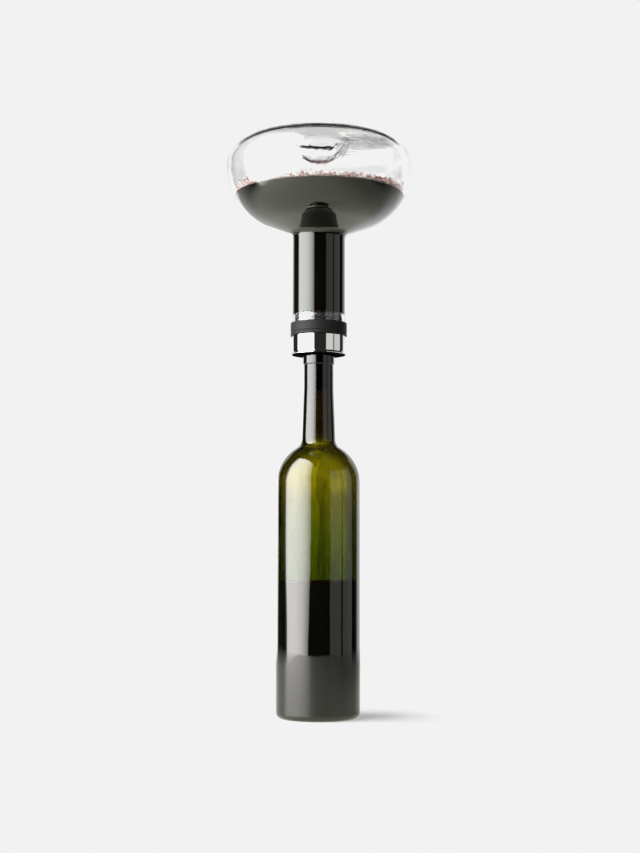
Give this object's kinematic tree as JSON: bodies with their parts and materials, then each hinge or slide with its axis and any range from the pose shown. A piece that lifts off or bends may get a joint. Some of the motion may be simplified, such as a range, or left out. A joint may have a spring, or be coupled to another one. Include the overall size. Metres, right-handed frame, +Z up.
{
  "type": "wine breathing carafe on a bottle",
  "caption": "Wide-bowled glass carafe standing upside down on a wine bottle, joined to it by a steel and silicone pouring collar.",
  "frame": {"origin": "centre of the bottle's foot, on the surface that it stands on", "axes": "+Z up along the bottle's and the carafe's common axis; X and Y across it"},
  "size_m": [0.1654, 0.1654, 0.5138],
  "materials": {
    "green_glass": "smooth, olive green, see-through",
    "clear_glass": "clear, hand blown, faintly uneven",
    "wine": "red wine, nearly black in depth",
    "foam": "pink bubbles",
    "polished_steel": "mirror polished stainless steel",
    "plain_steel": "plain stainless steel",
    "black_plastic": "moulded, low sheen",
    "silicone": "matte black silicone"
  },
  "bodies": {
    "bottle": {"bottle_glass": "green_glass", "wine_in_bottle": "wine"},
    "pourer": {"pourer_core": "black_plastic", "steel_sleeve": "polished_steel", "base_ring": "black_plastic", "socket_grip": "silicone", "mouth_gasket": "silicone", "bottle_stopper": "silicone", "vent_tube": "plain_steel", "spreader": "black_plastic", "strainer": "plain_steel", "strainer_clip": "black_plastic", "lower_neck_seal": "silicone", "upper_neck_seal": "silicone"},
    "neck_ring": {"neck_cuff": "silicone", "rim_cushion": "silicone"},
    "carafe": {"carafe_glass": "clear_glass", "wine_in_carafe": "wine", "foam_ring": "foam"}
  },
  "joints": [
    {"name": "pourer_lift", "type": "slide", "parent": "bottle", "child": "pourer", "axis": [0, 0, 1], "range_m": [0, 0.06]},
    {"name": "carafe_turn", "type": "hinge", "parent": "pourer", "child": "neck_ring", "pos_m": [0, 0, 0.34], "axis": [0, 0, 1], "continuous": true},
    {"name": "carafe_pull", "type": "slide", "parent": "neck_ring", "child": "carafe", "axis": [0, 0, 1], "range_m": [0, 0.04]}
  ]
}
